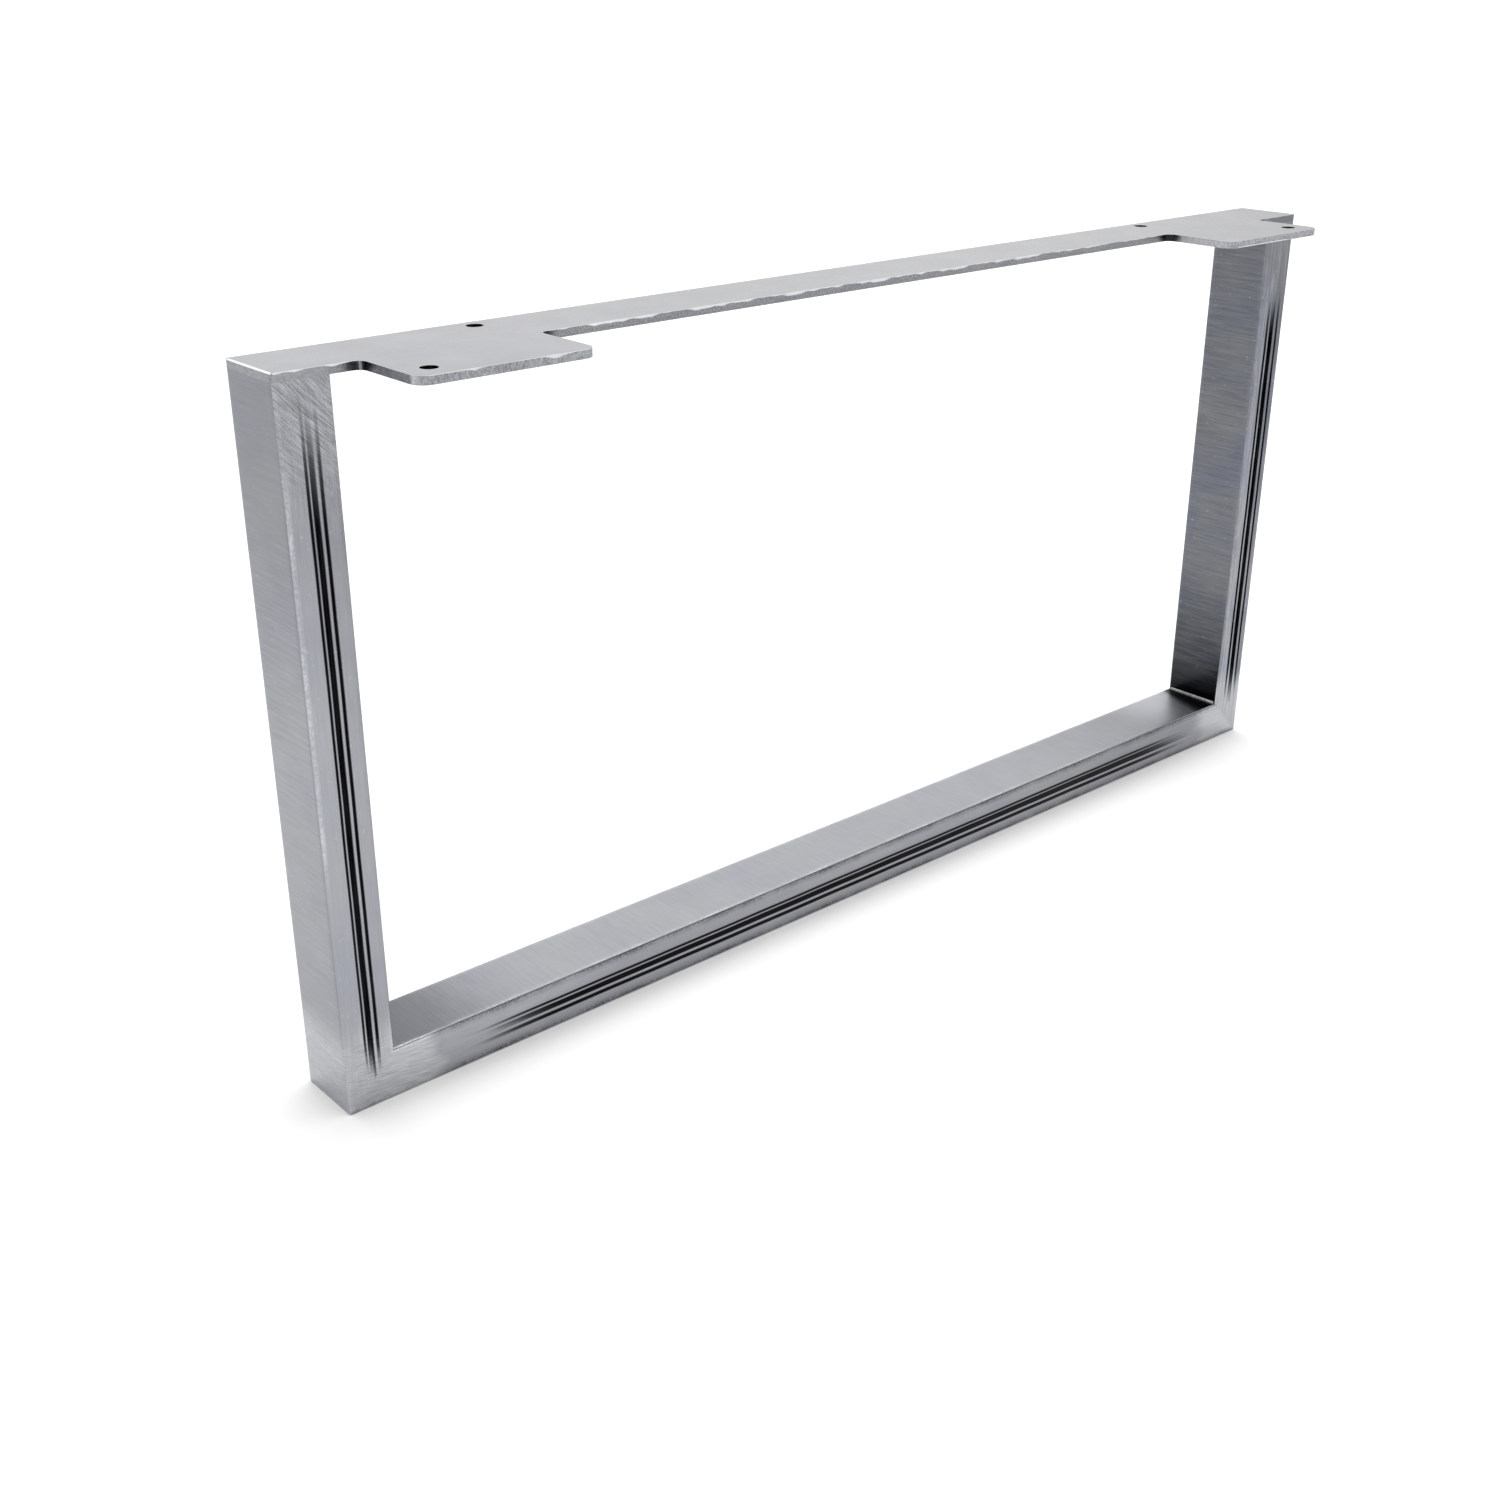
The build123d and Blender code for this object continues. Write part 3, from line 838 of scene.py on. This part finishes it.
# fillet bead in an inner corner: an arc from toe to toe, carried along the corner. The arc's height ripples along
# the bead, and the ripples curve back towards the toes as the pool cooled.
def makeBead(name, node, seatDown, material):
    low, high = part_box(node)
    side = math.copysign(1, low.x + high.x)
    leg, length = high.x - low.x, high.y - low.y
    root = np.array([side * max(abs(low.x), abs(high.x)), low.z if seatDown else high.z])
    rows = int(length / (bead["rowPitch"] * mm))
    run = np.linspace(low.y, high.y, rows)[:, None]
    sweep = np.linspace(0, 1, bead["arcSteps"])[None, :]
    hump = np.sin(np.pi * sweep)
    swing = bead["rippleSwing"] * wander(run, bead["swingLengths"], 31)
    phase = (run - low.y) / (bead["rippleLength"] * mm) + bead["rippleLag"] * hump + swing
    ripple = np.abs(np.sin(np.pi * phase))
    rise = (bead["crown"] + bead["rippleHeight"] * (ripple - 1)) * mm * hump
    toEnd = np.minimum(run - low.y, high.y - run) / (bead["taper"] * mm)
    taper = bead["endShare"] + (1 - bead["endShare"]) * np.sqrt(1 - (1 - np.clip(toEnd, 0, 1)) ** 2)
    inX = (leg * (1 - sweep) + rise / 2 ** 0.5) * taper
    inZ = (leg * sweep + rise / 2 ** 0.5) * taper
    inX, inZ = (np.concatenate([v, np.zeros((rows, 1))], axis=1) for v in (inX, inZ))
    up = 1 if seatDown else -1
    points = np.stack([root[0] - side * inX, run + 0 * inX, root[1] + up * inZ], axis=-1)
    columns = points.shape[1]
    faces = gridQuads(rows, columns, False)
    faces += [list(range(columns))[::-1], list(range((rows - 1) * columns, rows * columns))]
    piece = addPiece(name, points, faces, material, node, {}, sharpAngle=60)
    print("bead:", name, len(piece.data.polygons), "faces")


beadSteel = weldSteel("bareWeldSteel")
for beadSide in ("left", "right"):
    makeBead(beadSide + "CornerBead", beadSide + "_corner_weld", True, beadSteel)
    makeBead(beadSide + "PlateBead", beadSide + "_plate_weld", False, beadSteel)

# Plain pale floor, seamless paper: matt, with the faintest mottle. Sizes in metres.
floorLook = {"halfWidth": 40.0, "tone": "#eeeeee", "mottle": "#ebebeb", "mottleSize": 0.5}


def makeFloor():
    reach = floorLook["halfWidth"]
    mesh = bpy.data.meshes.new("floor")
    corners = [(-reach, -reach, 0), (reach, -reach, 0), (reach, reach, 0), (-reach, reach, 0)]
    mesh.from_pydata(corners, [], [(0, 1, 2, 3)])
    material, tree, shader = newMaterial("seamlessPaper")
    where = addNode(tree, "TexCoord", {})["Object"]
    mottle = addNode(tree, "TexNoise", {"Vector": where, "Scale": 1 / floorLook["mottleSize"], "Detail": 2.0})[0]
    colour = addNode(tree, "ValToRGB", {0: mottle})
    setStops(colour, ((0.3, floorLook["mottle"]), (0.7, floorLook["tone"])))
    tree.links.new(colour[0], shader["Base Color"])
    shader["Roughness"].default_value = 1.0
    shader["Specular IOR Level"].default_value = 0.0
    mesh.materials.append(material)
    floor = bpy.data.objects.new("floor", mesh)
    bpy.context.scene.collection.objects.link(floor)
    print("floor laid")


makeFloor()

# Studio light: a soft ceiling light, a lit wall to the back and right, weaker light from the front and from the
# left, all of which the steel mirrors, and a very wide soft lamp overhead that lights the floor. From and Full are
# cosines of the angle from a light's middle.
studio = {
    "ceiling": 1.3,
    "ceilingHeading": (0.36, 0.2, 0.911),
    "ceilingFrom": 0.58,
    "ceilingFull": 0.86,
    "wall": 1.15,
    "wallHeading": (0.375, 0.927, 0.0),
    "wallFrom": 0.60,
    "wallFull": 0.90,
    "front": 0.5,
    "frontHeading": (0.66, -0.75, 0.0),
    "frontFrom": 0.45,
    "frontFull": 0.85,
    "fill": 0.6,
    "fillHeading": (-0.966, -0.259, 0.0),
    "fillFrom": 0.42,
    "fillFull": 0.75,
    "room": 0.2,
    "lampPower": 2.15,
    "lampSpread": 110.0,  # degrees
    "lampTurn": (-14.0, 10.0, 0.0),
}


def makeStudio():
    world = bpy.data.worlds.new("studio")
    bpy.context.scene.world = world
    world.use_nodes = True
    tree = world.node_tree
    background = tree.nodes["Background"]
    heading = addNode(tree, "TexCoord", {})["Generated"]
    level = addNode(tree, "VectorMath", {0: heading, 1: (1, 1, 0)}, operation="MULTIPLY")[0]
    level = addNode(tree, "VectorMath", {0: level}, operation="NORMALIZE")[0]
    # the walls' lights go by the heading on the level, the ceiling's by the whole heading
    light = studio["room"]
    for side, looking in (("wall", level), ("front", level), ("fill", level), ("ceiling", heading)):
        facing = addNode(tree, "VectorMath", {0: looking, 1: studio[side + "Heading"]},
                         operation="DOT_PRODUCT")["Value"]
        edges = {1: studio[side + "From"], 2: studio[side + "Full"]}
        lit = addNode(tree, "MapRange", {0: facing, **edges, 3: 0.0, 4: 1.0}, interpolation_type="SMOOTHSTEP")[0]
        light = addNode(tree, "Mix", {0: lit, 2: light, 3: studio[side]})[0]
    seen = addNode(tree, "LightPath", {})["Is Camera Ray"]
    shown = addNode(tree, "Mix", {0: seen, 2: light, 3: 1.0})[0]
    tree.links.new(shown, background.inputs["Strength"])
    background.inputs["Color"].default_value = (1, 1, 1, 1)
    lamp = bpy.data.objects.new("overheadLamp", bpy.data.lights.new("overheadLamp", "SUN"))
    lamp.data.energy = studio["lampPower"]
    lamp.data.angle = math.radians(studio["lampSpread"])
    lamp.rotation_euler = [math.radians(a) for a in studio["lampTurn"]]
    lamp.visible_glossy = False  # the steel mirrors only the room
    bpy.context.scene.collection.objects.link(lamp)


makeStudio()

# Camera where the photograph was taken from, found from the frame's vanishing lines: metres and degrees.
shot = {"place": (-0.7680, -0.7729, 0.5753), "turn": 41.02, "lookDown": 24.01, "lens": 43.37}
camera = bpy.data.objects.new("camera", bpy.data.cameras.new("camera"))
camera.data.lens = shot["lens"]
camera.data.sensor_width = 36.0
camera.data.clip_start, camera.data.clip_end = 0.01, 100.0
camera.location = shot["place"]
camera.rotation_euler = (math.radians(90 - shot["lookDown"]), 0, -math.radians(shot["turn"]))
bpy.context.scene.collection.objects.link(camera)
bpy.context.scene.camera = camera
bpy.context.scene.view_settings.view_transform = "Standard"
print("camera and light set")
